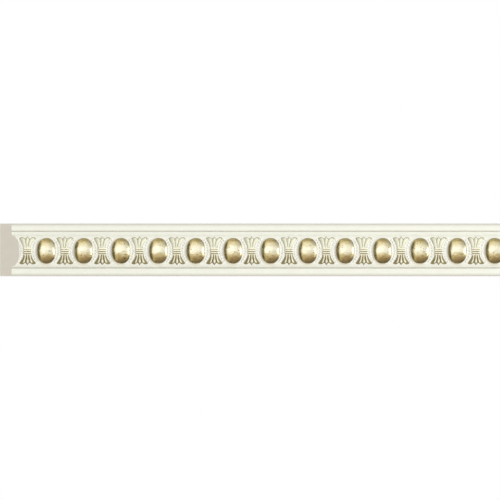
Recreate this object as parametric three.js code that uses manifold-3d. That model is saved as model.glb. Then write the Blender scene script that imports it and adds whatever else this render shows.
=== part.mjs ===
// A wall moulding with a run of gilded eggs, tied palmettes and strings of pearls on a half-round band.
//
// Units are millimetres. X runs along the moulding, Z is up, and the ornament faces -Y.
// The origin is the middle of the flat back, which lies on the wall in the plane Y = 0.
// The left end is sawn to a 45 degree mitre, and the right end is sawn square through an egg.

import * as THREE from "three";
import { mergeVertices } from "three/addons/utils/BufferGeometryUtils.js";
import Module from "manifold-3d";

const wasm = await Module();
wasm.setup();

// Driving sizes of the strip
const LENGTH = 380; // along the back, from the tip of the mitre to the square end
const HEIGHT = 40;
const BORDER_DEPTH = 9; // from the wall to the flat borders
const BAND_RISE = 6; // how far the half-round band stands out from the borders
const BAND_HALF_HEIGHT = 12;
const AXIS_Z = -0.7; // the ornament's centre line, just below the middle of the strip
const ARRIS = { depth: 1.3, height: 2.4 }; // rounding of the two outer edges
const GROOVE = { topZ: 14.1, bottomZ: -13.7, halfWidth: 0.65, depth: 0.8 };

// Driving sizes of the ornament
const PITCH = 28.36; // from one palmette to the next
const FIRST_PALMETTE_X = -168.85;
const PALMETTES = 13;
// The eggs stand a little right of the middle between two palmettes, by their shift
const EGG = { halfWidth: 7, halfHeight: 9.75, rise: 4, squareness: 2.3, shift: 0.25 };
const FAN = { start: 2.6, waist: 2.9, spread: 3.5, crowding: 1.5, ridge: 1.3, groove: 0.35, shift: 0.5 };
const TIE = { halfWidth: 2.9, radius: 0.78, bands: 3, lift: 0.4 };
const PEARL = { radius: 0.95, rise: 0.75, perString: 9 };
const PEARL_RING = { halfWidth: 9.65, halfHeight: 11.9, reach: 8.2 }; // round the egg

// Facets of each form
const FACETS = { band: 10, arris: 3, eggRound: 16, eggRise: 4, tie: 3 };

// How far a form reaches below the surface that it grows from, so that the two join
const ROOT = 1.6;
// How far the foot of a form lies under the ideal surface, because the band's facets do too
const FOOT = 0.15;

// The band's surface

// Depth of the band's surface in front of the wall, at a height above the ornament's centre line.
function bandDepth(rise) {
  const share = Math.min(1, Math.abs(rise) / BAND_HALF_HEIGHT);
  return BORDER_DEPTH + BAND_RISE * Math.sqrt(1 - share * share);
}

// A point of the ornament, by its place along the strip, above the centre line and out from the band.
function onBand(x, rise, out) {
  return new THREE.Vector3(x, -(bandDepth(rise) + out), AXIS_Z + rise);
}

// Solids

function solidOf(geometry) {
  const bare = geometry.clone();
  bare.deleteAttribute("normal");
  bare.deleteAttribute("uv");
  const merged = mergeVertices(bare, 1e-4);
  const mesh = new wasm.Mesh({
    numProp: 3,
    vertProperties: new Float32Array(merged.attributes.position.array),
    triVerts: new Uint32Array(merged.index.array),
  });
  return new wasm.Manifold(mesh);
}

function geometryOf(solid) {
  const mesh = solid.getMesh();
  const geometry = new THREE.BufferGeometry();
  geometry.setAttribute("position", new THREE.BufferAttribute(new Float32Array(mesh.vertProperties), 3));
  geometry.setIndex(new THREE.BufferAttribute(new Uint32Array(mesh.triVerts), 1));
  geometry.computeVertexNormals();
  return geometry;
}

// Moves every vertex of a geometry to where the function puts it.
function reshape(geometry, place) {
  const position = geometry.attributes.position;
  const point = new THREE.Vector3();
  for (let i = 0; i < position.count; i++) {
    point.fromBufferAttribute(position, i);
    position.setXYZ(i, ...place(point).toArray());
  }
  return geometry;
}

// The strip

// An arc of the section, with the wall at x = 0 and the front towards -x.
function arc(centreX, centreZ, radiusX, radiusZ, from, to, facets) {
  return new THREE.EllipseCurve(centreX, centreZ, radiusX, radiusZ, from, to, true).getPoints(facets);
}

// A V-shaped groove across the front of a border.
function groove(centreZ) {
  return [
    new THREE.Vector2(-BORDER_DEPTH, centreZ - GROOVE.halfWidth),
    new THREE.Vector2(-BORDER_DEPTH + GROOVE.depth, centreZ),
    new THREE.Vector2(-BORDER_DEPTH, centreZ + GROOVE.halfWidth),
  ];
}

// The section of the strip, drawn from the bottom of the wall up its front.
function stripSection() {
  const half = HEIGHT / 2;
  const quarter = Math.PI / 2;
  const arrisX = -BORDER_DEPTH + ARRIS.depth;
  const arrisZ = half - ARRIS.height;
  return new THREE.Shape([
    new THREE.Vector2(0, -half),
    ...arc(arrisX, -arrisZ, ARRIS.depth, ARRIS.height, -quarter, -2 * quarter, FACETS.arris),
    ...groove(GROOVE.bottomZ),
    ...arc(-BORDER_DEPTH, AXIS_Z, BAND_RISE, BAND_HALF_HEIGHT, -quarter, -3 * quarter, FACETS.band),
    ...groove(GROOVE.topZ),
    ...arc(arrisX, arrisZ, ARRIS.depth, ARRIS.height, 2 * quarter, quarter, FACETS.arris),
    new THREE.Vector2(0, half),
  ]);
}

// Turns an extrusion of a section in the XY plane so that it runs along X.
const ALONG_X = new THREE.Matrix4().makeBasis(
  new THREE.Vector3(0, 1, 0),
  new THREE.Vector3(0, 0, 1),
  new THREE.Vector3(1, 0, 0),
);

function strip() {
  const geometry = new THREE.ExtrudeGeometry(stripSection(), { depth: LENGTH, bevelEnabled: false });
  geometry.applyMatrix4(ALONG_X);
  return geometry.translate(-LENGTH / 2, 0, 0);
}

// The eggs

// How much farther out a point lies on the egg's squarish outline than on an ellipse.
function corner(x, z) {
  const square = Math.pow(Math.abs(x), EGG.squareness) + Math.pow(Math.abs(z), EGG.squareness);
  return square > 0 ? Math.hypot(x, z) / Math.pow(square, 1 / EGG.squareness) : 1;
}

// A half egg that grows out of the band, with its root below the surface.
function egg(middleX) {
  const centreX = middleX + EGG.shift;
  const ball = new THREE.SphereGeometry(1, FACETS.eggRound, 2 * FACETS.eggRise);
  return reshape(ball, (p) => {
    const fuller = corner(p.x, p.z);
    const out = p.y < 0 ? -p.y * EGG.rise : -p.y * ROOT;
    return onBand(centreX + p.x * EGG.halfWidth * fuller, p.z * EGG.halfHeight * fuller, out - FOOT);
  });
}

// The palmettes

// The lines that run up a fan of three leaves, from its middle ridge to its edge. Each gives its share
// of the fan's half width, how far above the centre line it ends, and its height above the band.
const FAN_LINES = [
  { share: 0, end: 11, out: FAN.ridge },
  { share: 0.31, end: 9.1, out: FAN.groove },
  { share: 0.62, end: 10.3, out: FAN.ridge },
  { share: 1, end: 9.3, out: -FOOT },
];

// How high each row of a fan stands, as a share: low at the waist, full in the leaves and low at the tips.
const FAN_SWELL = [0.35, 0.8, 1, 0.3];

// Turns the diagonals of the faces right of the middle, so that the two halves of a block match.
function matchHalves(block) {
  const { index } = block;
  const { position } = block.attributes;
  for (let i = 0; i < index.count; i += 6) {
    const corner = index.getX(i);
    const opposite = index.getX(i + 4);
    if (position.getX(corner) + position.getX(opposite) > 0) {
      index.setX(i + 2, opposite);
      index.setX(i + 3, corner);
    }
  }
  return block;
}

// A spray of three leaves that spreads from the waist, upwards for a turn of 1 and downwards for -1.
// An upward one stands a little left of the tie, but for its tips.
function fan(centreX, turn) {
  const edge = FAN_LINES.length - 1;
  const rows = FAN_SWELL.length - 1;
  const block = matchHalves(new THREE.BoxGeometry(2 * edge, 1, rows, 2 * edge, 1, rows));
  return reshape(block, (p) => {
    const line = FAN_LINES[Math.abs(Math.round(p.x))];
    const climb = 1 - Math.pow(0.5 - p.z / rows, FAN.crowding);
    const halfWidth = FAN.waist + FAN.spread * climb * climb;
    const across = turn * Math.sign(p.x) * line.share * halfWidth;
    const shift = turn > 0 ? FAN.shift * (1 - Math.pow(climb, 4)) : 0;
    const along = FAN.start + (line.end - FAN.start) * climb;
    const swell = FAN_SWELL[Math.round(p.z + rows / 2)];
    return onBand(centreX + across - shift, turn * along, p.y < 0 ? line.out * swell : -ROOT);
  });
}

// The section of the tie, drawn upwards with its back inside the band: one round for each of its bands.
function tieSection() {
  const pitch = 2 * TIE.radius;
  const half = (TIE.bands * pitch) / 2;
  const points = [new THREE.Vector2(ROOT, half), new THREE.Vector2(ROOT, -half)];
  for (let i = 0; i < TIE.bands; i++) {
    const centre = (i + 0.5) * pitch - half;
    points.push(...arc(-TIE.lift, centre, TIE.radius, TIE.radius, -Math.PI / 2, -1.5 * Math.PI, FACETS.tie));
    points.pop();
  }
  points.push(new THREE.Vector2(-TIE.lift, half));
  return new THREE.Shape(points);
}

// The bands that tie the two sprays of leaves at the waist.
function tie(centreX) {
  const geometry = new THREE.ExtrudeGeometry(tieSection(), { depth: 2 * TIE.halfWidth, bevelEnabled: false });
  geometry.applyMatrix4(ALONG_X);
  const middle = onBand(centreX, 0, 0);
  return geometry.translate(centreX - TIE.halfWidth, middle.y, middle.z);
}

// The strings of pearls

// Pearls at even steps along an ellipse round the egg, on its right for a side of 1 and its left for -1.
function pearls(eggX, side) {
  const { halfWidth, halfHeight, reach } = PEARL_RING;
  const angle = Math.asin(reach / halfHeight);
  const ring = new THREE.EllipseCurve(0, 0, halfWidth, halfHeight, -angle, angle);
  return ring.getSpacedPoints(PEARL.perString - 1).map((p) => {
    const centre = onBand(eggX + side * p.x, p.y, -FOOT);
    const pearl = new THREE.OctahedronGeometry(PEARL.radius).scale(1, PEARL.rise / PEARL.radius, 1);
    return pearl.translate(centre.x, centre.y, centre.z);
  });
}

// The saw cuts

// The stock that the two saw cuts leave: mitred at 45 degrees on the left, square on the right.
function sawnStock() {
  const reach = BORDER_DEPTH + BAND_RISE + EGG.rise + PEARL.radius;
  const tip = -LENGTH / 2;
  const plan = new THREE.Shape([
    new THREE.Vector2(tip, 0),
    new THREE.Vector2(tip + reach, -reach),
    new THREE.Vector2(LENGTH / 2, -reach),
    new THREE.Vector2(LENGTH / 2, 0),
  ]);
  const stock = new THREE.ExtrudeGeometry(plan, { depth: HEIGHT, bevelEnabled: false });
  return stock.translate(0, 0, -HEIGHT / 2);
}

// The moulding

function moulding() {
  const forms = [strip()];
  for (let i = 0; i < PALMETTES; i++) {
    const palmetteX = FIRST_PALMETTE_X + i * PITCH;
    const eggBefore = palmetteX - PITCH / 2;
    const eggAfter = palmetteX + PITCH / 2;
    forms.push(fan(palmetteX, 1), tie(palmetteX), fan(palmetteX, -1));
    forms.push(...pearls(eggBefore, 1), egg(eggAfter), ...pearls(eggAfter, -1));
  }
  const carved = wasm.Manifold.union(forms.map(solidOf));
  return geometryOf(carved.intersect(solidOf(sawnStock())));
}

const ivory = new THREE.MeshStandardMaterial({ color: 0xf1efe3, roughness: 0.45, metalness: 0 });

const part = new THREE.Group();
const mouldingMesh = new THREE.Mesh(moulding(), ivory);
mouldingMesh.name = "moulding";
part.add(mouldingMesh);

export default part;
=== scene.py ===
"""A wall moulding with gilded eggs, tied palmettes and strings of pearls, dressed round its CAD solid.

The carving is worked out in millimetres, in the part's own frame: X runs along the moulding, Z is up,
and the ornament faces -Y. One mesh takes the place of the solid, and is turned into metres at the end.
"""

import math

import bpy
from mathutils import Matrix, Vector, noise


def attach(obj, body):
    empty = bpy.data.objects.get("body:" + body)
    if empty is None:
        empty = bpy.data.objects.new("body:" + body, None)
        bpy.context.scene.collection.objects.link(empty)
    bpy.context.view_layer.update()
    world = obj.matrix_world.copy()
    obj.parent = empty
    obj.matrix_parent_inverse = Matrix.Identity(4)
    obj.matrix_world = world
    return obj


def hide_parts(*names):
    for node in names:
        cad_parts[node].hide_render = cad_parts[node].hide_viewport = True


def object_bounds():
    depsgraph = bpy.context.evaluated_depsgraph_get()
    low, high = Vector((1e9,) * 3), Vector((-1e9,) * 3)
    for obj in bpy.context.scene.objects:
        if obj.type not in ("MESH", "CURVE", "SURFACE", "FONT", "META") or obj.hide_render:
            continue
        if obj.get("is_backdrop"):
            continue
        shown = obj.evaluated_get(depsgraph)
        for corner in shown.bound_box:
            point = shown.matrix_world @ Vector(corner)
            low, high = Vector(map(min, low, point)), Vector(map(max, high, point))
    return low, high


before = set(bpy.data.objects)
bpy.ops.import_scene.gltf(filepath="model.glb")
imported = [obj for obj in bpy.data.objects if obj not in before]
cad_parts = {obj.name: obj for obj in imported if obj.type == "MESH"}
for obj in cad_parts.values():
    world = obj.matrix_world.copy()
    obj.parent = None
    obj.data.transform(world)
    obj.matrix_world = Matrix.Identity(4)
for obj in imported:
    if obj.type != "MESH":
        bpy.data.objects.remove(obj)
cad_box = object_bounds()

MM = 0.001

# Driving sizes of the strip, in millimetres
LENGTH = 380.0
HEIGHT = 40.0
BORDER_DEPTH = 9.0
BAND_RISE = 6.0
BAND_HALF_HEIGHT = 12.0
AXIS_Z = -0.7  # the centre line of the band and of its ornament
ARRIS_DEPTH = 1.3  # of the rounded long edges
ARRIS_HEIGHT = 2.4
GROOVE_ZS = (-13.7, 14.1)
GROOVE_HALF_WIDTH = 0.65
GROOVE_DEPTH = 0.8

# Driving sizes of the ornament, in millimetres
PITCH = 28.36
FIRST_PALMETTE_X = -168.85
PALMETTES = 13
EGG_HALF_WIDTH = 7.0
EGG_HALF_HEIGHT = 9.75
EGG_RISE = 3.8
EGG_SQUARENESS = 2.3  # 2 is an ellipse seen from the front, and more fills its corners
EGG_SHIFT = 0.25  # right of the middle between two palmettes
FAN_START = 2.0  # above the centre line, and below it for the downward fans
FAN_WAIST = 2.9  # the half width where a fan starts
FAN_SPREAD = 3.5  # what the half width gains up to the tips
FAN_RISE = 1.3
TIE_HALF_WIDTH = 2.9
TIE_PITCH = 1.52
TIE_CENTRE = 0.2  # above the centre line
TIE_RISE = 1.2
PEARL_RADIUS = 0.85
PEARL_RISE = 0.65
PEARLS_PER_STRING = 9
RING_HALF_WIDTH = 9.65  # of the ellipse round an egg that two strings of pearls follow
RING_HALF_HEIGHT = 11.9
RING_REACH = 8.2  # how far above and below the centre line a string goes

# How far the hidden root of a form reaches below the band
ROOT = 1.6
# How far the foot of a form lies under the band, so that it meets the band along a clean line
FOOT = 0.12
# Spare length at both ends of the strip, which the saw takes off
SPARE = 5.0


# The band's surface

def band_depth(rise):
    """Depth of the band's surface in front of the wall, at a height above the centre line."""
    share = min(1.0, abs(rise) / BAND_HALF_HEIGHT)
    return BORDER_DEPTH + BAND_RISE * math.sqrt(1.0 - share * share)


def on_band(x, rise, out):
    """A point of the ornament: along the strip, above the centre line, and out from the band."""
    return Vector((x, -(band_depth(rise) + out), AXIS_Z + rise))


# Small sums

def smooth_step(value):
    """0 below 0, 1 above 1, and smooth in between."""
    share = min(1.0, max(0.0, value))
    return share * share * (3.0 - 2.0 * share)


def blend(first, second, share):
    """The first value at 0, the second at 1, and straight in between."""
    return first + (second - first) * share


# Node helpers

class Nodes:
    """A node tree, with short calls for the nodes that the finishes are made of."""

    def __init__(self, tree):
        self.tree = tree

    def add(self, kind, inputs=None, **settings):
        """Adds a node. inputs maps a socket's name or number to a value or to another node's output."""
        node = self.tree.nodes.new("ShaderNode" + kind)
        for name, value in settings.items():
            setattr(node, name, value)
        for name, value in (inputs or {}).items():
            self.feed(node.inputs[name], value)
        return node

    def feed(self, socket, value):
        if isinstance(value, bpy.types.NodeSocket):
            self.tree.links.new(value, socket)
        else:
            socket.default_value = value

    def math(self, operation, first, second=0.0, third=0.0, clamp=False):
        node = self.add("Math", {0: first, 1: second, 2: third}, operation=operation, use_clamp=clamp)
        return node.outputs[0]

    def times(self, first, second):
        return self.math("MULTIPLY", first, second)

    def times_plus(self, value, factor, added, clamp=False):
        return self.math("MULTIPLY_ADD", value, factor, added, clamp)

    def without_sign(self, value):
        return self.math("ABSOLUTE", value)

    def larger(self, first, second):
        return self.math("MAXIMUM", first, second)

    def rising(self, value, low, high):
        """0 at low, 1 at high, and smooth in between. With low above high, it falls instead."""
        limits = {"Value": value, "From Min": low, "From Max": high}
        return self.add("MapRange", limits, interpolation_type="SMOOTHSTEP").outputs["Result"]

    def mix(self, factor, first, second):
        """Blends two colours."""
        node = self.add("Mix", {0: factor, 6: first, 7: second}, data_type="RGBA")
        return node.outputs[2]

    def glaze(self, colour, over, where, strength):
        """Lays a second colour over the first, at some strength, where the mask is 1."""
        return self.mix(self.times(where, strength), colour, over)

    def ramp(self, value, tones):
        """Colours along a scale from -1 to 1, given as pairs of place and colour."""
        node = self.add("ValToRGB", {0: self.times_plus(value, 0.5, 0.5)})
        stops = node.color_ramp.elements
        while len(stops) < len(tones):
            stops.new(1.0)
        for stop, (place, colour) in zip(stops, tones):
            stop.position = 0.5 + 0.5 * place
            stop.color = (*colour, 1)
        return node.outputs["Color"]

    def noise(self, place, scale, detail):
        settings = {"Vector": place, "Scale": scale, "Detail": detail}
        return self.add("TexNoise", settings).outputs["Fac"]

    def cells(self, place, scale):
        return self.add("TexVoronoi", {"Vector": place, "Scale": scale}).outputs

    def group(self, tree, **inputs):
        node = self.add("Group", node_tree=tree)
        for name, value in inputs.items():
            self.feed(node.inputs[name], value)
        return node.outputs

    def bump(self, shader, height, strength, distance):
        """Gives a shader a fine relief, whose full height is a distance in millimetres."""
        settings = {"Height": height, "Strength": strength, "Distance": distance * MM}
        self.feed(shader.inputs["Normal"], self.add("Bump", settings).outputs["Normal"])


def new_material(name):
    material = bpy.data.materials.new(name)
    material.use_nodes = True
    return material, Nodes(material.node_tree), material.node_tree.nodes["Principled BSDF"]


# Effects that several finishes share

def relief_group():
    """Where a point of the ornament is, in millimetres.

    Out is from the band, Rise above the centre line, Sunk below the borders' face, Edge from the
    nearer long edge of the strip, and Beside to the right of the nearest egg's middle.
    """
    tree = bpy.data.node_groups.new("relief", "ShaderNodeTree")
    for label in ("Out", "Rise", "Sunk", "Edge", "Beside"):
        tree.interface.new_socket(label, in_out="OUTPUT", socket_type="NodeSocketFloat")
    nodes = Nodes(tree)
    result = tree.nodes.new("NodeGroupOutput")
    place = nodes.add("SeparateXYZ", {0: nodes.add("TexCoord").outputs["Object"]}).outputs
    forward = nodes.times(place["Y"], -1 / MM)
    height = nodes.times(place["Z"], 1 / MM)
    rise = nodes.math("SUBTRACT", height, AXIS_Z)
    share = nodes.times(rise, 1 / BAND_HALF_HEIGHT)
    below_one = nodes.math("SUBTRACT", 1.0, nodes.times(share, share), clamp=True)
    band = nodes.times(nodes.math("SQRT", below_one), BAND_RISE)
    from_border = nodes.math("SUBTRACT", forward, BORDER_DEPTH)
    nodes.feed(result.inputs["Out"], nodes.math("SUBTRACT", from_border, band))
    nodes.feed(result.inputs["Rise"], rise)
    nodes.feed(result.inputs["Sunk"], nodes.times(from_border, -1.0))
    nodes.feed(result.inputs["Edge"], nodes.math("SUBTRACT", HEIGHT / 2, nodes.without_sign(height)))
    first = (FIRST_PALMETTE_X + EGG_SHIFT) / PITCH
    eggs_on = nodes.times_plus(place["X"], 1 / (MM * PITCH), -first)
    beside = nodes.times_plus(nodes.math("FRACT", eggs_on), PITCH, -PITCH / 2)
    nodes.feed(result.inputs["Beside"], beside)
    return tree


# The range that smooth noise keeps to, spread out to 0 and 1
NOISE_RANGE = (0.3, 0.7)
GRAINS_PER_PATCH = 6.0
# The share of the cells that hold no fleck, and a fleck's rim and core as shares of its cell
FLECKLESS = 0.6
FLECK_RIM = 0.3
FLECK_CORE = 0.12


def mottling_group():
    """Soft patches, a fine grain and a few small flecks, from 0 to 1. Size is the patches' width in mm."""
    tree = bpy.data.node_groups.new("mottling", "ShaderNodeTree")
    tree.interface.new_socket("Size", in_out="INPUT", socket_type="NodeSocketFloat")
    for label in ("Patches", "Grain", "Flecks"):
        tree.interface.new_socket(label, in_out="OUTPUT", socket_type="NodeSocketFloat")
    nodes = Nodes(tree)
    given = tree.nodes.new("NodeGroupInput")
    result = tree.nodes.new("NodeGroupOutput")
    place = nodes.add("TexCoord").outputs["Object"]
    scale = nodes.math("DIVIDE", 1 / MM, given.outputs["Size"])
    nodes.feed(result.inputs["Patches"], nodes.rising(nodes.noise(place, scale, 3.0), *NOISE_RANGE))
    fine = nodes.times(scale, GRAINS_PER_PATCH)
    nodes.feed(result.inputs["Grain"], nodes.rising(nodes.noise(place, fine, 2.0), *NOISE_RANGE))
    spots = nodes.cells(place, scale)
    chance = nodes.add("SeparateColor", {0: spots["Color"]}).outputs[0]
    few = nodes.math("GREATER_THAN", chance, FLECKLESS)
    round_spot = nodes.rising(spots["Distance"], FLECK_RIM, FLECK_CORE)
    nodes.feed(result.inputs["Flecks"], nodes.times(few, round_spot))
    return tree


RELIEF = relief_group()
MOTTLING = mottling_group()


# Ivory paint

IVORY_PATCH = 9.0  # the width of its patches, in millimetres
IVORY_TONES = ((0.855, 0.86, 0.775, 1), (0.875, 0.88, 0.795, 1))
# Painted light: the band's crown is painted lighter, to lift the shade between the ornaments. It begins and
# is full at these heights above the borders' face
PAINTED_CROWN_LIGHT = (0.95, 0.955, 0.89, 1)
PAINTED_CROWN_LIGHT_STRENGTH = 0.55
PAINTED_CROWN_LIGHT_HEIGHTS = (2.5, 4.2)
# The painted shadow by an egg, and how far out it reaches, where 1 is the egg's outline. It lies to the
# lower
# left, away from the light: it is gone and is full at two distances right of the middle, along a leaning
# line.
EGG_SHADOW_TONE = (0.7, 0.6, 0.4, 1)
EGG_SHADOW_STRENGTH = 0.55
EGG_SHADOW_REACH = 1.65
EGG_SHADOW_LEAN = 0.45
EGG_SHADOW_GONE_AT = 1.5
EGG_SHADOW_FULL_AT = -4.5
# The painted shadow left of a palmette begins and is full at these distances right of an egg's middle, which
# grow less towards the egg's ends. It is gone and is full at two shares out to those ends.
LEAF_SHADOW_TONE = (0.62, 0.58, 0.47, 1)
LEAF_SHADOW_STRENGTH = 0.4
LEAF_SHADOW_DISTANCES = (7.6, 10.8)
LEAF_SHADOW_LEAN = 2.85
LEAF_SHADOW_ENDS = (1.1, 0.6)
# Painted shade in the grooves, by their depth, and grey over the long edges, by the distance from them,
# which is partly thin paint over the foam and partly painted shade
GREY_SHADE_AND_THIN_PAINT = (0.57, 0.56, 0.49, 1)
GROOVE_SHADE_STRENGTH = 0.8
GROOVE_SHADE_DEPTHS = (0.05, 0.6)
EDGE_THIN_PAINT_AND_SHADE_STRENGTH = 0.9
EDGE_THIN_PAINT_AND_SHADE_DISTANCES = (3.0, -0.1)


def egg_share(nodes, distance, half_size):
    """How far out a point is along one axis of an egg. The two shares make 1 on the egg's outline."""
    share = nodes.times(nodes.without_sign(distance), 1 / half_size)
    return nodes.math("POWER", share, EGG_SQUARENESS)


def ivory_paint():
    """Ivory paint, painted lighter on the band's crown as painted light, with painted shade in the two
    grooves, and grey over the long edges that is partly thin paint and partly painted shade.

    A painted brown shadow lies left of each palmette, and left of each egg and under it.
    """
    material, nodes, shader = new_material("ivory paint")
    relief = nodes.group(RELIEF)
    mottling = nodes.group(MOTTLING, Size=IVORY_PATCH)
    paint = nodes.mix(mottling["Patches"], *IVORY_TONES)
    # Painted light on the band's crown, where shade falls between the ornaments
    crown_light = nodes.rising(relief["Sunk"], -PAINTED_CROWN_LIGHT_HEIGHTS[0], -PAINTED_CROWN_LIGHT_HEIGHTS[1])
    paint = nodes.glaze(paint, PAINTED_CROWN_LIGHT, crown_light, PAINTED_CROWN_LIGHT_STRENGTH)
    band = nodes.rising(relief["Sunk"], 0.0, -1.0)
    across = egg_share(nodes, relief["Beside"], EGG_HALF_WIDTH)
    upward = egg_share(nodes, relief["Rise"], EGG_HALF_HEIGHT)
    # Painted shadow: brown shade left of each egg and under it
    egg_shadow = nodes.rising(nodes.math("ADD", across, upward), EGG_SHADOW_REACH, 1.0)
    shadow_place = nodes.times_plus(relief["Rise"], EGG_SHADOW_LEAN, relief["Beside"])
    egg_shadow = nodes.times(nodes.times(egg_shadow, band), nodes.rising(shadow_place, EGG_SHADOW_GONE_AT, EGG_SHADOW_FULL_AT))
    paint = nodes.glaze(paint, EGG_SHADOW_TONE, egg_shadow, EGG_SHADOW_STRENGTH)
    # Painted shadow: beige shade left of each palmette, where its leaves would cast it
    to_leaf_shadow = nodes.times_plus(upward, LEAF_SHADOW_LEAN, relief["Beside"])
    leaf_shadow = nodes.rising(to_leaf_shadow, *LEAF_SHADOW_DISTANCES)
    leaf_shadow = nodes.times(nodes.times(leaf_shadow, nodes.rising(upward, *LEAF_SHADOW_ENDS)), band)
    paint = nodes.glaze(paint, LEAF_SHADOW_TONE, leaf_shadow, LEAF_SHADOW_STRENGTH)
    # Painted shade in the grooves; on the long edges grey that is partly thin paint and partly painted shade
    in_groove = nodes.math("GREATER_THAN", relief["Edge"], ARRIS_HEIGHT)
    sunk = nodes.times(nodes.rising(relief["Sunk"], *GROOVE_SHADE_DEPTHS), in_groove)
    edge_thin_paint_and_shade = nodes.rising(relief["Edge"], *EDGE_THIN_PAINT_AND_SHADE_DISTANCES)
    grey_share = nodes.larger(nodes.times(sunk, GROOVE_SHADE_STRENGTH), nodes.times(edge_thin_paint_and_shade, EDGE_THIN_PAINT_AND_SHADE_STRENGTH))
    nodes.feed(shader.inputs["Base Color"], nodes.mix(grey_share, paint, GREY_SHADE_AND_THIN_PAINT))
    shader.inputs["Roughness"].default_value = 0.45
    nodes.bump(shader, mottling["Grain"], strength=0.05, distance=0.1)
    return material


# Gilding

GOLD_PATCH = 2.2
GOLD_TONES = ((0.86, 0.765, 0.51, 1), (0.92, 0.83, 0.58, 1))
# A painted highlight of pale gold begins and is full at these distances right of the egg's middle, and the
# foot's dark is gone and is full at two others, so that the right rim keeps its reflection. All of them move
# to the right towards the egg's ends.
PAINTED_HIGHLIGHT_GOLD = (0.95, 0.94, 0.86, 1)
PAINTED_HIGHLIGHT_STRENGTH = 0.7
PAINTED_HIGHLIGHT_DISTANCES = (5.0, 6.6)
FOOT_DARK_RIGHT_END = (5.5, 3.5)
EGG_END_LEAN = -0.35
# The brown at an egg's foot, partly glaze and partly a painted dark reflection, is gone and is full at these
# heights above the band. It climbs higher in the gold's patches, and on the egg's far left as painted shade,
# and it is weaker towards the egg's upper end.
BROWN_GLAZE_AND_SHADE = (0.15, 0.115, 0.03, 1)
FOOT_GLAZE_AND_SHADE_STRENGTH = 0.88
FOOT_GLAZE_AND_SHADE_HEIGHTS = (2.5, 0.5)
PATCH_CLIMB = 0.6
LEFT_SHADE_CLIMB = 0.3
LEFT_SHADE_DISTANCES = (-4.0, -6.0)
UPPER_LOSS = -0.2
UPPER_RISES = (3.0, 8.0)
# How dark the flecks and the grain are, as shares of the glaze
GOLD_FLECKS = 0.6
GOLD_GRAIN = 0.08


def gilding():
    """Burnished gold paint, mottled and uneven, with a brown round the foot of each egg that is partly glaze
    and partly a painted dark reflection.

    On the left that dark is stronger, as painted shade. On the right it is left off, and the pale gold there
    is a painted highlight.
    """
    material, nodes, shader = new_material("gilding")
    mottling = nodes.group(MOTTLING, Size=GOLD_PATCH)
    gold = nodes.mix(mottling["Patches"], *GOLD_TONES)
    relief = nodes.group(RELIEF)
    away = nodes.without_sign(relief["Rise"])
    rightwards = nodes.times_plus(away, EGG_END_LEAN, relief["Beside"])
    # Painted highlight: pale gold on the egg's right side, where the bright light is reflected
    gold = nodes.glaze(gold, PAINTED_HIGHLIGHT_GOLD, nodes.rising(rightwards, *PAINTED_HIGHLIGHT_DISTANCES), PAINTED_HIGHLIGHT_STRENGTH)
    # The foot's dark is full on the left and left off on the right, where the rim reflects light
    left = nodes.rising(rightwards, *FOOT_DARK_RIGHT_END)
    uneven = nodes.times(mottling["Patches"], PATCH_CLIMB)
    left_shade = nodes.rising(relief["Beside"], *LEFT_SHADE_DISTANCES)
    uneven = nodes.times_plus(left_shade, LEFT_SHADE_CLIMB, uneven)
    # The foot's brown: partly glaze, partly a painted dark reflection, higher on the left as painted shade
    foot = nodes.rising(nodes.math("SUBTRACT", relief["Out"], uneven), *FOOT_GLAZE_AND_SHADE_HEIGHTS)
    upper = nodes.rising(relief["Rise"], *UPPER_RISES)
    strength = nodes.times_plus(upper, UPPER_LOSS, FOOT_GLAZE_AND_SHADE_STRENGTH)
    foot = nodes.times(nodes.times(foot, left), strength)
    dark = nodes.larger(foot, nodes.times(mottling["Flecks"], GOLD_FLECKS))
    dark = nodes.times_plus(mottling["Grain"], GOLD_GRAIN, dark, clamp=True)
    nodes.feed(shader.inputs["Base Color"], nodes.mix(dark, gold, BROWN_GLAZE_AND_SHADE))
    shader.inputs["Metallic"].default_value = 1.0
    nodes.feed(shader.inputs["Roughness"], nodes.math("ADD", nodes.times(mottling["Patches"], 0.1), 0.25))
    nodes.bump(shader, mottling["Patches"], strength=0.35, distance=0.2)
    return material


# Leaf glaze

LEAF_PATCH = 1.6
# The paint's and the hollows' dark tones higher up and lower down, and where the first turns to the second
LEAF_TONES = ((0.765, 0.76, 0.605, 1), (0.87, 0.825, 0.645, 1))
HOLLOW_GLAZE_AND_SHADE_TONES = ((0.42, 0.4, 0.28, 1), (0.27, 0.235, 0.12, 1))
TURNING_RISES = (1.2, -2.8)
# The tie's own tone ends at these distances from its middle
TIE_TONE = (0.98, 0.955, 0.78, 1)
TIE_TONE_ENDS = (2.4, 2.2)
# How high above the band the dark fills the hollows, partly olive glaze and partly painted shade, and what
# it gains lower down and at all the tips, where it is painted shade along their ends
HOLLOW_DARK_HEIGHT = 0.38
LOWER_GAIN = 0.74
LOWER_RISES = (-3.5, -7.5)
TIP_GAIN = 0.35
TIP_DISTANCES = (8.4, 10.2)
# Shares of that height at which the dark is gone and is full, and how uneven its surface is, in
# millimetres
HOLLOW_DARK_EDGE = (1.05, 0.4)
HOLLOW_DARK_UNEVENNESS = 0.2
LEAF_FLECKS = 0.25
# The painted shadow under the tie is gone and is full at these heights above the centre line
TIE_SHADOW_STRENGTH = 0.18
TIE_SHADOW_TOP = (-2.0, -2.4)
TIE_SHADOW_BOTTOM = (-8.0, -5.8)
# Distances from the lines at the tie's lowest band at which their painted shade is gone and is full
TIE_SHADE_LINES = (0.45, 0.17)


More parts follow.
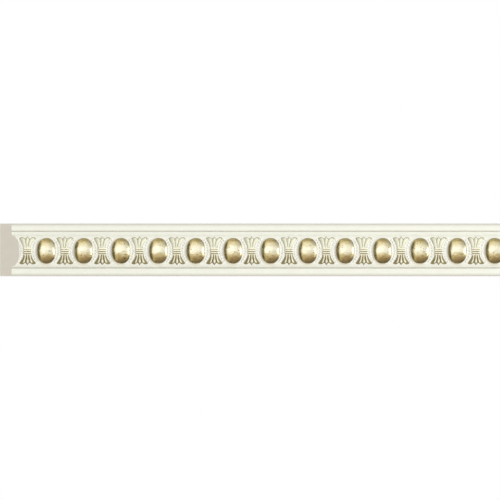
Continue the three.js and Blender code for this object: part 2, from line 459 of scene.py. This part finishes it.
def leaf_glaze():
    """Champagne paint on the palmettes, lighter on the tie, with a dark in the hollows that is partly olive
    glaze and partly painted shade.

    The dark turns brown lower down. Painted shade is thick between the lower bands of the tie and along its
    lower edge, and a thin painted shadow lies under that.
    """
    material, nodes, shader = new_material("leaf glaze")
    relief = nodes.group(RELIEF)
    mottling = nodes.group(MOTTLING, Size=LEAF_PATCH)
    rise = relief["Rise"]
    above_tie = nodes.math("SUBTRACT", rise, TIE_CENTRE)
    tied = nodes.rising(nodes.without_sign(above_tie), *TIE_TONE_ENDS)
    low = nodes.rising(rise, *TURNING_RISES)
    glaze = nodes.mix(low, *HOLLOW_GLAZE_AND_SHADE_TONES)
    uneven = nodes.times(nodes.math("SUBTRACT", mottling["Patches"], 0.5), HOLLOW_DARK_UNEVENNESS)
    height = nodes.times_plus(nodes.rising(rise, *LOWER_RISES), LOWER_GAIN, HOLLOW_DARK_HEIGHT)
    at_tips = nodes.rising(nodes.without_sign(rise), *TIP_DISTANCES)
    height = nodes.times_plus(at_tips, TIP_GAIN, height)
    level = nodes.math("DIVIDE", nodes.math("ADD", relief["Out"], uneven), height)
    # The hollows' dark: partly glaze, partly painted shade along the leaves' outlines and tips
    hollow_glaze_and_shade = nodes.rising(level, *HOLLOW_DARK_EDGE)
    hollow_glaze_and_shade = nodes.larger(hollow_glaze_and_shade, nodes.times(mottling["Flecks"], LEAF_FLECKS))
    # Painted shadow under the tie, and painted shade along the lines at its lowest band
    tie_shadow = nodes.times(nodes.rising(rise, *TIE_SHADOW_TOP), nodes.rising(rise, *TIE_SHADOW_BOTTOM))
    hollow_glaze_and_shade = nodes.larger(hollow_glaze_and_shade, nodes.times(tie_shadow, TIE_SHADOW_STRENGTH))
    from_band = nodes.without_sign(nodes.math("ADD", above_tie, TIE_PITCH))
    from_line = nodes.without_sign(nodes.math("SUBTRACT", from_band, TIE_PITCH / 2))
    hollow_glaze_and_shade = nodes.larger(hollow_glaze_and_shade, nodes.rising(from_line, *TIE_SHADE_LINES))
    body = nodes.mix(tied, nodes.mix(low, *LEAF_TONES), TIE_TONE)
    nodes.feed(shader.inputs["Base Color"], nodes.mix(hollow_glaze_and_shade, body, glaze))
    shader.inputs["Roughness"].default_value = 0.38
    nodes.bump(shader, mottling["Grain"], strength=0.08, distance=0.1)
    return material


# Bare core

CORE_PATCH = 6.0
CORE_TONES = ((0.93, 0.88, 0.78, 1), (0.955, 0.9, 0.805, 1))
CELLS_PER_METRE = 1600.0
# The dark of a cell begins and is full at these distances from its middle, as shares of its size
PORE_TONE = (0.62, 0.57, 0.48, 1)
PORE_STRENGTH = 0.12
PORE_DISTANCES = (0.5, 0.1)


def bare_core():
    """The sawn foam of the core, with fine cells."""
    material, nodes, shader = new_material("bare core")
    place = nodes.add("TexCoord").outputs["Object"]
    from_middle = nodes.cells(place, CELLS_PER_METRE)["Distance"]
    mottling = nodes.group(MOTTLING, Size=CORE_PATCH)
    foam = nodes.mix(mottling["Patches"], *CORE_TONES)
    foam = nodes.glaze(foam, PORE_TONE, nodes.rising(from_middle, *PORE_DISTANCES), PORE_STRENGTH)
    nodes.feed(shader.inputs["Base Color"], foam)
    shader.inputs["Roughness"].default_value = 0.9
    nodes.bump(shader, from_middle, strength=0.4, distance=0.2)
    return material


# The finishes, in the order that every form of the moulding lists them
FINISHES = (ivory_paint(), gilding(), leaf_glaze(), bare_core())
IVORY, GOLD, LEAF, CORE = range(len(FINISHES))


# Meshes

def mesh_object(name, points, faces, materials, finish=0):
    """A mesh with a list of materials, whose faces all wear the one at the place given."""
    mesh = bpy.data.meshes.new(name)
    mesh.from_pydata(points, [], faces)
    for material in materials:
        mesh.materials.append(material)
    for face in mesh.polygons:
        face.material_index = finish
    shape = bpy.data.objects.new(name, mesh)
    bpy.context.scene.collection.objects.link(shape)
    return shape


def add_block(points, faces, columns, rows, place):
    """Adds a closed block. place(across, climb, front) gives the points of its front and of its root."""
    start = len(points)
    width = columns + 1
    layer = width * (rows + 1)
    for front in (True, False):
        for row in range(rows + 1):
            for column in range(width):
                points.append(place(column / columns, row / rows, front))

    def at(column, row):
        return start + row * width + column

    for row in range(rows):
        for column in range(columns):
            a, b = at(column, row), at(column + 1, row)
            c, d = at(column + 1, row + 1), at(column, row + 1)
            faces.append((a, b, c, d))
            faces.append((d + layer, c + layer, b + layer, a + layer))
    border = [at(column, 0) for column in range(columns)]
    border += [at(columns, row) for row in range(rows)]
    border += [at(column, rows) for column in range(columns, 0, -1)]
    border += [at(0, row) for row in range(rows, 0, -1)]
    for here, after in zip(border, border[1:] + border[:1]):
        faces.append((after, here, here + layer, after + layer))


def add_dome(points, faces, segments, rings, place, root):
    """Adds a closed dome. place(share, turn) gives its front, from the top at 0 to the foot at 1."""
    top = len(points)
    points.append(place(0.0, 0.0))
    for ring in range(1, rings + 1):
        for segment in range(segments):
            points.append(place(ring / rings, 2.0 * math.pi * segment / segments))
    points.append(root)
    foot = top + 1 + (rings - 1) * segments
    last = len(points) - 1
    for segment in range(segments):
        after = (segment + 1) % segments
        faces.append((top, top + 1 + segment, top + 1 + after))
        for inner in range(top + 1, foot, segments):
            outer = inner + segments
            faces.append((inner + segment, outer + segment, outer + after, inner + after))
        faces.append((foot + segment, last, foot + after))


# The strip

BAND_FACETS = 40
ARRIS_FACETS = 8
GROOVE_FACETS = 3
STATIONS = 200
# A face is the back if its normal points this far into the wall
FACES_WALL = 0.9


def arc(centre, radii, start, stop, facets):
    """Points of an arc in the section, as pairs of depth and height, by angles in quarter turns."""
    points = []
    for step in range(facets + 1):
        angle = math.pi / 2 * (start + (stop - start) * step / facets)
        points.append((centre[0] + radii[0] * math.cos(angle), centre[1] + radii[1] * math.sin(angle)))
    return points


def groove(centre_z):
    """A groove with soft edges and a rounded bottom."""
    points = []
    for step in range(-GROOVE_FACETS, GROOVE_FACETS + 1):
        across = step / GROOVE_FACETS
        depth = 0.5 + 0.5 * math.cos(math.pi * across)
        points.append((BORDER_DEPTH - GROOVE_DEPTH * depth, centre_z + GROOVE_HALF_WIDTH * across))
    return points


def strip_section():
    """The section from the back's lower edge, up the front, to the back's upper edge."""
    half = HEIGHT / 2
    corner = (BORDER_DEPTH - ARRIS_DEPTH, half - ARRIS_HEIGHT)
    radii = (ARRIS_DEPTH, ARRIS_HEIGHT)
    points = [(0.0, -half)]
    points += arc((corner[0], -corner[1]), radii, -1, 0, ARRIS_FACETS)
    points += groove(GROOVE_ZS[0])
    points += arc((BORDER_DEPTH, AXIS_Z), (BAND_RISE, BAND_HALF_HEIGHT), -1, 1, BAND_FACETS)
    points += groove(GROOVE_ZS[1])
    points += arc(corner, radii, 0, 1, ARRIS_FACETS)
    points.append((0.0, half))
    return points


def strip():
    """The plain strip, a little too long. Its back is bare."""
    section = strip_section()
    count = len(section)
    start = -LENGTH / 2 - SPARE
    step = (LENGTH + 2 * SPARE) / STATIONS
    points = []
    faces = [tuple(range(count)), tuple(STATIONS * count + i for i in reversed(range(count)))]
    for station in range(STATIONS + 1):
        for depth, height in section:
            points.append(Vector((start + station * step, -depth, height)))
    for station in range(STATIONS):
        here = station * count
        for i in range(count):
            after = (i + 1) % count
            faces.append((here + i, here + count + i, here + count + after, here + after))
    shape = mesh_object("moulding_carved", points, faces, FINISHES, IVORY)
    for face in shape.data.polygons:
        if face.normal.y > FACES_WALL:
            face.material_index = CORE
    return shape


# The eggs

EGG_SEGMENTS = 64
EGG_RINGS = 22
EGG_FULLNESS = 2.2  # 2 is a half ball, and more is fuller, with a steeper foot
EGG_DENTS = 0.11
DENT_WIDTH = 3.2
# How much finer and how strong the small dents are beside the broad ones, and where their pattern is cut
SMALL_DENT_FINENESS = 2.2
SMALL_DENT_SHARE = 0.5
SMALL_DENT_LAYER = 9.0


def dents(x, rise):
    """The uneven skin of the gilding, from about -1 to 1."""
    broad = noise.noise(Vector((x, rise, 0.0)) / DENT_WIDTH)
    small = noise.noise(Vector((x, rise, SMALL_DENT_LAYER)) * SMALL_DENT_FINENESS / DENT_WIDTH)
    return broad + SMALL_DENT_SHARE * small


def eggs():
    """The gilded eggs, each halfway between two palmettes but for a small shift."""
    points, faces = [], []
    for i in range(PALMETTES):
        centre_x = FIRST_PALMETTE_X + (i + 0.5) * PITCH + EGG_SHIFT

        def place(share, turn):
            spread = math.sin(share * math.pi / 2)
            across, upward = math.cos(turn), math.sin(turn)
            corner = abs(across) ** EGG_SQUARENESS + abs(upward) ** EGG_SQUARENESS
            reach = spread / corner ** (1.0 / EGG_SQUARENESS)
            x = centre_x + EGG_HALF_WIDTH * reach * across
            rise = EGG_HALF_HEIGHT * reach * upward
            dome = (1.0 - min(1.0, spread ** EGG_FULLNESS)) ** (1.0 / EGG_FULLNESS)
            return on_band(x, rise, EGG_RISE * dome - FOOT + EGG_DENTS * dents(x, rise))

        add_dome(points, faces, EGG_SEGMENTS, EGG_RINGS, place, on_band(centre_x, 0.0, -ROOT))
    return mesh_object("eggs", points, faces, FINISHES, GOLD)


# The pearls

PEARL_SEGMENTS = 12
PEARL_RINGS = 5
RING_SAMPLES = 400


def ring_places():
    """Places along one string, as pairs of distance from the egg and height, at even steps."""
    reach = math.asin(RING_REACH / RING_HALF_HEIGHT)
    path = []
    for i in range(RING_SAMPLES + 1):
        angle = reach * (2.0 * i / RING_SAMPLES - 1.0)
        path.append((RING_HALF_WIDTH * math.cos(angle), RING_HALF_HEIGHT * math.sin(angle)))
    lengths = [0.0]
    for here, after in zip(path, path[1:]):
        lengths.append(lengths[-1] + math.dist(here, after))
    places = []
    for i in range(PEARLS_PER_STRING):
        wanted = lengths[-1] * i / (PEARLS_PER_STRING - 1)
        nearest = min(range(RING_SAMPLES + 1), key=lambda k: abs(lengths[k] - wanted))
        places.append(path[nearest])
    return places


def pearls():
    """A string of pearls on each side of each palmette, round the egg that it faces."""
    points, faces = [], []
    places = ring_places()
    for i in range(PALMETTES):
        palmette_x = FIRST_PALMETTE_X + i * PITCH
        for side in (-1.0, 1.0):
            egg_x = palmette_x + side * PITCH / 2
            for distance, height in places:
                centre_x = egg_x - side * distance

                def place(share, turn):
                    tilt = share * math.pi / 2
                    x = centre_x + PEARL_RADIUS * math.sin(tilt) * math.cos(turn)
                    rise = height + PEARL_RADIUS * math.sin(tilt) * math.sin(turn)
                    return on_band(x, rise, (PEARL_RISE + FOOT) * math.cos(tilt) - FOOT)

                add_dome(points, faces, PEARL_SEGMENTS, PEARL_RINGS, place, on_band(centre_x, height, -ROOT))
    return mesh_object("pearls", points, faces, FINISHES, IVORY)


# The palmettes

FAN_COLUMNS = 52
FAN_ROWS = 22
# More than 1 crowds the rows of a fan towards its tips
FAN_CROWDING = 1.6
# The columns, from 0 in the middle to 1 at the edge, that run down the groove and along the side ridge
GROOVE_COLUMN = 8 / 26
RIDGE_COLUMN = 17 / 26
# Where these two run, as shares of the half width, before and after they bend outwards
GROOVE_RUN = (0.25, 0.31)
RIDGE_RUN = (0.55, 0.62)
# Where along the leaves they bend, as a start and a length
GROOVE_BENDS = (0.35, 0.5)
RIDGE_BENDS = (0.7, 0.3)
# How far above the centre line the middle leaf, the valleys, the side leaves and their outer corners reach
CENTRE_TIP = 11.0
VALLEY = 9.1
SIDE_TIP = 10.3
OUTER_TIP = 9.3
# How pointed the middle tip is, and how long the side leaf's tip keeps its height towards its outer corner
CENTRE_POINT = 1.7
OUTER_CURVE = 3
# Where the leaves begin to bend down to their tips, as shares of their length, for downward and upward fans
NOSE_STARTS = (0.72, 0.82)
# Where they are down, and a thin flat skirt begins, at the tips and along the sides of the upward fans
NOSE_END = 0.95
SKIRT_SHARE = 0.9
# Heights as shares of the fan's rise: the grooves and edges, the hollows by the tie, the start of the
# downward and upward fans, and the foot from which the leaves swell to 1
GROOVE_LEVEL = 0.12
EDGE_LEVEL = 0.1
WAIST_LEVEL = 0.8
START_LEVELS = (0.3, 0.2)
FOOT_LEVEL = 0.37
SWELL = 0.63
# Where along the leaves these heights change, and the downward ribs turn to buds, as a start and a length
WAIST_SPAN = (0.04, 0.24)
START_SPAN = (0.0, 0.14)
SWELL_SPAN = (0.15, 0.6)
BUD_SPAN = (0.4, 0.4)
# How narrow a ridge is: below 1 it is a broad leaf, and above 1 a rib
LEAF_SHARPNESS = 0.75
SIDE_LEAF_SHARPNESS = 0.45
RIB_SHARPNESS = 3.1
BUD_SHARPNESS = 1.1
SIDE_RIB_SHARPNESS = 3.8
WAIST_SHARPNESS = 1.0
# How far the upward leaves stand left of the tie. Close to the tips the shift dies away, by a power of
# the share of their length.
UPWARD_SHIFT = 0.5
SHIFT_POWER = 4


def over(span, climb):
    """Rises from 0 to 1 as a leaf climbs over a span, given as its start and its length."""
    return smooth_step((climb - span[0]) / span[1])


def fan_line(column, climb):
    """Where a column of a fan's mesh runs: its share of the half width, and how far it has come down from
    the nearest ridge, from 0 to 1. The columns follow the groove and the ridges as they bend."""
    groove_share = blend(*GROOVE_RUN, over(GROOVE_BENDS, climb))
    ridge_share = blend(*RIDGE_RUN, over(RIDGE_BENDS, climb))
    if column < GROOVE_COLUMN:
        fall = column / GROOVE_COLUMN
        return groove_share * fall, fall
    if column < RIDGE_COLUMN:
        fall = (RIDGE_COLUMN - column) / (RIDGE_COLUMN - GROOVE_COLUMN)
        return blend(ridge_share, groove_share, fall), fall
    fall = (column - RIDGE_COLUMN) / (1.0 - RIDGE_COLUMN)
    return blend(ridge_share, 1.0, fall), fall


def fan_end(column, fall):
    """How far above the centre line a column of the fan ends: at a tip, in a valley or between the two."""
    if column < GROOVE_COLUMN:
        return blend(VALLEY, CENTRE_TIP, (1.0 - fall) ** CENTRE_POINT)
    if column < RIDGE_COLUMN:
        return blend(VALLEY, SIDE_TIP, math.cos(fall * math.pi / 2))
    return blend(SIDE_TIP, OUTER_TIP, fall ** OUTER_CURVE)


def fan_height(column, fall, climb, turn):
    """How high the fan stands, as a share of FAN_RISE. Upwards its leaves are broad, with thin lines
    between them, and downwards they are narrow ribs that end in buds."""
    outside = column > RIDGE_COLUMN
    waist = 1.0 - over(WAIST_SPAN, climb)
    low = blend(EDGE_LEVEL if outside else GROOVE_LEVEL, WAIST_LEVEL, waist)
    if turn < 0 and outside:
        sharpness = blend(SIDE_RIB_SHARPNESS, WAIST_SHARPNESS, waist)
    elif turn < 0:
        sharpness = blend(RIB_SHARPNESS, BUD_SHARPNESS, over(BUD_SPAN, climb))
    elif outside:
        sharpness = SIDE_LEAF_SHARPNESS
        fall = min(1.0, fall / SKIRT_SHARE)
        low = EDGE_LEVEL
    else:
        sharpness = LEAF_SHARPNESS
    across = blend(low, 1.0, math.cos(fall * math.pi / 2) ** sharpness)
    foot = blend(START_LEVELS[turn > 0], FOOT_LEVEL, over(START_SPAN, climb))
    nose = NOSE_STARTS[turn > 0]
    bend = min(1.0, max(0.0, (climb - nose) / (NOSE_END - nose)))
    return across * (foot + SWELL * over(SWELL_SPAN, climb)) * blend(EDGE_LEVEL, 1.0, 1.0 - bend * bend)


def fans():
    """The two fans of each palmette, one upward and one downward."""
    points, faces = [], []
    for i in range(PALMETTES):
        centre_x = FIRST_PALMETTE_X + i * PITCH
        for turn in (1.0, -1.0):

            def place(across, climb, front):
                side = 2.0 * across - 1.0
                climb = 1.0 - (1.0 - climb) ** FAN_CROWDING
                share, fall = fan_line(abs(side), climb)
                x = math.copysign(share, side) * (FAN_WAIST + FAN_SPREAD * climb * climb)
                if turn > 0:
                    x -= UPWARD_SHIFT * (1.0 - climb ** SHIFT_POWER)
                rise = blend(FAN_START, fan_end(abs(side), fall), climb)
                out = FAN_RISE * fan_height(abs(side), fall, climb, turn)
                return on_band(centre_x + turn * x, turn * rise, out if front else -ROOT)

            add_block(points, faces, FAN_COLUMNS, FAN_ROWS, place)
    return mesh_object("fans", points, faces, FINISHES, LEAF)


# The ties

TIE_COLUMNS = 14
TIE_ROWS = 8
# Half the height of one of the tie's bands, as a share of their pitch
TIE_FILL = 0.49
# A band's section: how far round it goes, as a share of a half turn, and how narrow its ridge is
TIE_ROUND = 0.96
TIE_SHARPNESS = 1.6
# How much lower a band is at its two ends, and how late it drops
TIE_END_DROP = 0.3
TIE_END_POWER = 8


def ties():
    """The three bands across the middle of each palmette."""
    points, faces = [], []
    for i in range(PALMETTES):
        centre_x = FIRST_PALMETTE_X + i * PITCH
        for band in (-1, 0, 1):

            def place(across, climb, front):
                side = 2.0 * across - 1.0
                level = 2.0 * climb - 1.0
                rise = TIE_CENTRE + band * TIE_PITCH + level * TIE_PITCH * TIE_FILL
                cord = math.cos(TIE_ROUND * level * math.pi / 2) ** TIE_SHARPNESS
                cord *= 1.0 - TIE_END_DROP * abs(side) ** TIE_END_POWER
                return on_band(centre_x + side * TIE_HALF_WIDTH, rise, TIE_RISE * cord if front else -ROOT)

            add_block(points, faces, TIE_COLUMNS, TIE_ROWS, place)
    return mesh_object("ties", points, faces, FINISHES, LEAF)


# The saw cuts

# The stock reaches past the strip behind it, in front, above and below, so that only its ends cut
STOCK_BACK_Y = 2.0
STOCK_FRONT_Y = -25.0
STOCK_HALF_HEIGHT = 40.0


def sawn_stock():
    """What the saw leaves: mitred at 45 degrees on the left and square on the right."""
    left, right = -LENGTH / 2, LENGTH / 2
    outline = [
        (left - STOCK_BACK_Y, STOCK_BACK_Y),
        (left - STOCK_FRONT_Y, STOCK_FRONT_Y),
        (right, STOCK_FRONT_Y),
        (right, STOCK_BACK_Y),
    ]
    points = [Vector((x, y, z)) for z in (-STOCK_HALF_HEIGHT, STOCK_HALF_HEIGHT) for x, y in outline]
    faces = [(3, 2, 1, 0), (4, 5, 6, 7)]
    for i in range(4):
        after = (i + 1) % 4
        faces.append((i, after, after + 4, i + 4))
    return mesh_object("stock", points, faces, FINISHES, CORE)


def combine(shape, other, operation):
    """Joins or cuts a closed mesh with another, which is used up."""
    modifier = shape.modifiers.new("cut", "BOOLEAN")
    modifier.operation = operation
    modifier.solver = "MANIFOLD"
    modifier.object = other
    view = bpy.context.evaluated_depsgraph_get()
    result = bpy.data.meshes.new_from_object(shape.evaluated_get(view))
    shape.modifiers.clear()
    shape.data = result
    bpy.data.objects.remove(other)


# The moulding

# Edges sharper than this, in degrees, stay sharp in the smooth shading
SHARP_ANGLE = 32


def moulding():
    """The whole moulding in one mesh, joined, sawn to length and turned into metres."""
    shape = strip()
    for form in (eggs(), fans(), ties(), pearls()):
        combine(shape, form, "UNION")
    combine(shape, sawn_stock(), "INTERSECT")
    mesh = shape.data
    for face in mesh.polygons:
        face.use_smooth = True
    mesh.set_sharp_from_angle(angle=math.radians(SHARP_ANGLE))
    mesh.transform(Matrix.Scale(MM, 4))
    return shape


piece = moulding()
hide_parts("moulding")
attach(piece, "root")


# Camera, lights and floor, in metres

CAMERA_DISTANCE = 10.0
CAMERA_REACH = 50
SENSOR_WIDTH = 36
# The photograph's middle row lies a little below the middle of the strip
VIEW_Z = -0.1 * MM
LIGHT_DISTANCE = 4.0


def aim(thing, place, target=(0, 0, 0)):
    """Puts a camera or a light in its place, and turns it towards a target."""
    thing.location = place
    thing.rotation_euler = (Vector(target) - Vector(place)).to_track_quat("-Z", "Y").to_euler()
    bpy.context.scene.collection.objects.link(thing)


def camera():
    """A long lens that looks straight at the front and fills the frame's width with the moulding."""
    data = bpy.data.cameras.new("camera")
    data.sensor_width = SENSOR_WIDTH
    data.lens = SENSOR_WIDTH * CAMERA_DISTANCE / (LENGTH * MM)
    data.clip_end = CAMERA_REACH
    thing = bpy.data.objects.new("camera", data)
    aim(thing, (0, -CAMERA_DISTANCE, VIEW_Z), (0, 0, VIEW_Z))
    bpy.context.scene.camera = thing


def soft_light(name, azimuth, elevation, width, height, brightness):
    """A soft box in the given direction from the front, whose width and height are angles in degrees."""
    data = bpy.data.lights.new(name, "AREA")
    data.shape = "RECTANGLE"
    data.size = 2 * LIGHT_DISTANCE * math.tan(math.radians(width / 2))
    data.size_y = 2 * LIGHT_DISTANCE * math.tan(math.radians(height / 2))
    data.energy = brightness * math.pi * data.size * data.size_y
    thing = bpy.data.objects.new(name, data)
    thing.visible_camera = False
    turn, climb = math.radians(azimuth), math.radians(elevation)
    flat = LIGHT_DISTANCE * math.cos(climb)
    aim(thing, (flat * math.sin(turn), -flat * math.cos(turn), LIGHT_DISTANCE * math.sin(climb)))
    return thing


WHITE = (1, 1, 1, 1)
BLACK = (0, 0, 0, 1)

# The room from straight down at -1 to straight up at 1, as the gold reflects it
ROOM_STRENGTH = 1.7
ROOM_TONES = (
    (-1.0, (0.13, 0.095, 0.05)),
    (-0.7, (0.235, 0.175, 0.09)),
    (-0.45, (0.44, 0.38, 0.24)),
    (-0.25, (0.475, 0.46, 0.385)),
    (-0.05, (0.69, 0.75, 0.84)),
    (0.1, (0.86, 0.915, 1.11)),
    (0.3, (0.79, 0.82, 0.95)),
    (0.5, (0.69, 0.725, 0.73)),
    (0.68, (0.59, 0.595, 0.55)),
    (0.8, (0.625, 0.61, 0.535)),
    (0.9, (0.5, 0.465, 0.325)),
    (1.0, (0.26, 0.21, 0.105)),
)

# The room's sides: a shade on the right, and on the left a white card, its golden edge and the dark wall
# beyond it. Each begins and is full at a pair of places, where 1 is straight to the right. For the edge
# and the wall it is straight to the left.
RIGHT_SHADE = 0.22
RIGHT_PLACES = (-0.1, 0.4)
UPPER_RIGHT_SHADE = 0.25
UPPER_RIGHT_LEAN = 0.9
UPPER_RIGHT_PLACES = (0.8, 1.2)
LEFT_CARD = (0.93, 0.97, 1.12, 1)
LEFT_CARD_SHARE = 0.6
LEFT_CARD_PLACES = (0.1, -0.45)
LEFT_CARD_HEIGHTS = (0.42, 0.18)
LEFT_LEAN = 0.35
LEFT_EDGE = (0.5, 0.43, 0.24, 1)
LEFT_EDGE_SHARE = 0.8
LEFT_EDGE_PLACES = (0.6, 0.85)
LEFT_WALL = (0.07, 0.06, 0.02, 1)
LEFT_WALL_PLACES = (0.78, 0.97)

# The glow that lights the paint, from below at -1 to above at 1
GLOW_TONES = (
    (-1.0, (1.08, 1.065, 1.02)),
    (-0.25, (0.59, 0.58, 0.56)),
    (0.2, (0.51, 0.505, 0.485)),
    (1.0, (0.94, 0.93, 0.89)),
)


def room(nodes, way):
    """The room by direction: its tones, darker to the right, and on the left a card and a dark wall."""
    walls = nodes.ramp(way["Z"], ROOM_TONES)
    upper_right = nodes.rising(nodes.times_plus(way["Z"], UPPER_RIGHT_LEAN, way["X"]), *UPPER_RIGHT_PLACES)
    walls = nodes.glaze(walls, BLACK, nodes.rising(way["X"], *RIGHT_PLACES), RIGHT_SHADE)
    walls = nodes.glaze(walls, BLACK, upper_right, UPPER_RIGHT_SHADE)
    away = nodes.without_sign(way["Z"])
    card = nodes.times(nodes.rising(way["X"], *LEFT_CARD_PLACES), nodes.rising(away, *LEFT_CARD_HEIGHTS))
    walls = nodes.glaze(walls, LEFT_CARD, card, LEFT_CARD_SHARE)
    leftwards = nodes.times_plus(away, LEFT_LEAN, nodes.times(way["X"], -1.0))
    walls = nodes.glaze(walls, LEFT_EDGE, nodes.rising(leftwards, *LEFT_EDGE_PLACES), LEFT_EDGE_SHARE)
    return nodes.mix(nodes.rising(leftwards, *LEFT_WALL_PLACES), walls, LEFT_WALL)


def studio():
    """White behind the moulding, an even soft glow on it, and a room for the gold to reflect."""
    surroundings = bpy.data.worlds.new("studio")
    bpy.context.scene.world = surroundings
    surroundings.use_nodes = True
    nodes = Nodes(surroundings.node_tree)
    way = nodes.add("SeparateXYZ", {0: nodes.add("TexCoord").outputs["Generated"]}).outputs
    glow = nodes.add("Background", {"Color": nodes.ramp(way["Z"], GLOW_TONES)})
    mirrored = nodes.add("Background", {"Color": room(nodes, way), "Strength": ROOM_STRENGTH})
    white = nodes.add("Background", {"Color": WHITE})
    path = nodes.add("LightPath").outputs
    inner = nodes.add("MixShader", {0: path["Is Glossy Ray"], 1: glow.outputs[0], 2: mirrored.outputs[0]})
    outer = nodes.add("MixShader", {0: path["Is Camera Ray"], 1: inner.outputs[0], 2: white.outputs[0]})
    nodes.feed(surroundings.node_tree.nodes["World Output"].inputs["Surface"], outer.outputs[0])


FLOOR_HALF = 0.45
FLOOR_Z = -0.25
FLOOR_TONE = (0.9, 0.9, 0.89, 1)


def floor():
    """A pale floor under the moulding, which neither lights it nor shows in the gold."""
    turns = ((-1, -1), (1, -1), (1, 1), (-1, 1))
    corners = [(FLOOR_HALF * x, FLOOR_HALF * y, FLOOR_Z) for x, y in turns]
    material, _, shader = new_material("pale floor")
    shader.inputs["Base Color"].default_value = FLOOR_TONE
    shader.inputs["Roughness"].default_value = 0.8
    thing = mesh_object("floor", corners, [(0, 1, 2, 3)], [material])
    thing.visible_glossy = False
    thing.visible_diffuse = False
    thing.visible_shadow = False
    thing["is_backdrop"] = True


camera()
studio()
floor()
key = soft_light("key", azimuth=54, elevation=4, width=26, height=66, brightness=4.5)
key.visible_glossy = False
gleam = soft_light("gleam", azimuth=80, elevation=-2, width=36, height=34, brightness=2.3)
gleam.visible_diffuse = False
bpy.context.scene.view_settings.view_transform = "Standard"

boxes = {"cad": cad_box, "visual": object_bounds()}
{name: [list(corner) for corner in box] for name, box in boxes.items()}
